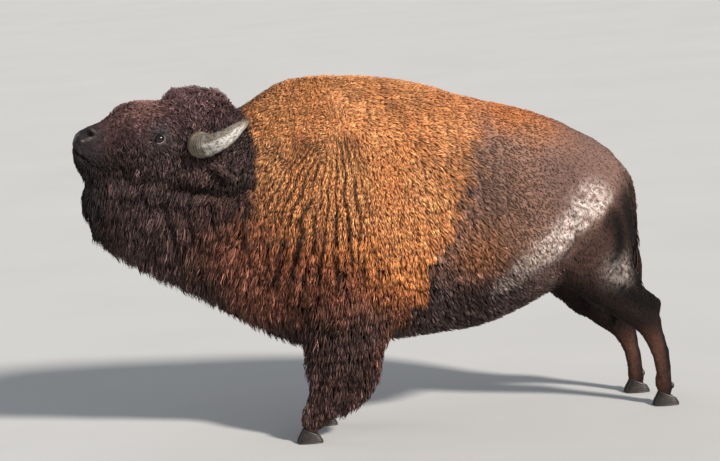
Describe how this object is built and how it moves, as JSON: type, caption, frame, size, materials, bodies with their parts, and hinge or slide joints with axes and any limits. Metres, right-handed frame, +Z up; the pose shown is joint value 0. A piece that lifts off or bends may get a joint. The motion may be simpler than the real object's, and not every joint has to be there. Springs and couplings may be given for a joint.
{
  "type": "american bison bull figure",
  "caption": "Still life-size bison bull standing with its woolly head stretched forward and raised, a high cape over the hump, a beard, short horns and a bare-looking rump.",
  "frame": {"origin": "middle of the bounding box in plan, at the height of the floor under the soles", "axes": "+Z up, the animal faces -X, its left side is towards -Y"},
  "size_m": [2.8838, 0.7286, 1.7784],
  "materials": {
    "head_wool": "dense dark brown wool, matt",
    "muzzle_hide": "bare to short-haired hide, moist sheen on the nose pad",
    "mane": "long reddish to dark brown locks, matt",
    "cape": "tan to orange-brown woolly cape, matt with sunlit tips",
    "short_coat": "short grey-brown hair, dusty in places",
    "horn": "weathered grey-white horn sheath with growth rings, satin",
    "hoof": "dark horn of the claws, satin",
    "eye": "wet dark brown eye, glossy"
  },
  "bodies": {
    "root": {"barrel": "short_coat", "beard": "head_wool", "bonnet": "head_wool", "brisket": "mane", "head": "head_wool", "hump": "cape", "left_ear": "head_wool", "left_eye": "eye", "left_fore_inner_claw": "hoof", "left_fore_outer_claw": "hoof", "left_gaskin": "short_coat", "left_hind_cannon": "short_coat", "left_hind_inner_claw": "hoof", "left_hind_outer_claw": "hoof", "left_horn": "horn", "left_lower_foreleg": "mane", "left_thigh": "short_coat", "left_upper_foreleg": "mane", "muzzle": "muzzle_hide", "neck": "mane", "right_ear": "head_wool", "right_eye": "eye", "right_fore_inner_claw": "hoof", "right_fore_outer_claw": "hoof", "right_gaskin": "short_coat", "right_hind_cannon": "short_coat", "right_hind_inner_claw": "hoof", "right_hind_outer_claw": "hoof", "right_horn": "horn", "right_lower_foreleg": "mane", "right_thigh": "short_coat", "right_upper_foreleg": "mane", "rump": "short_coat", "tail": "short_coat", "tail_switch": "head_wool", "throat_mane": "mane"}
  },
  "joints": []
}
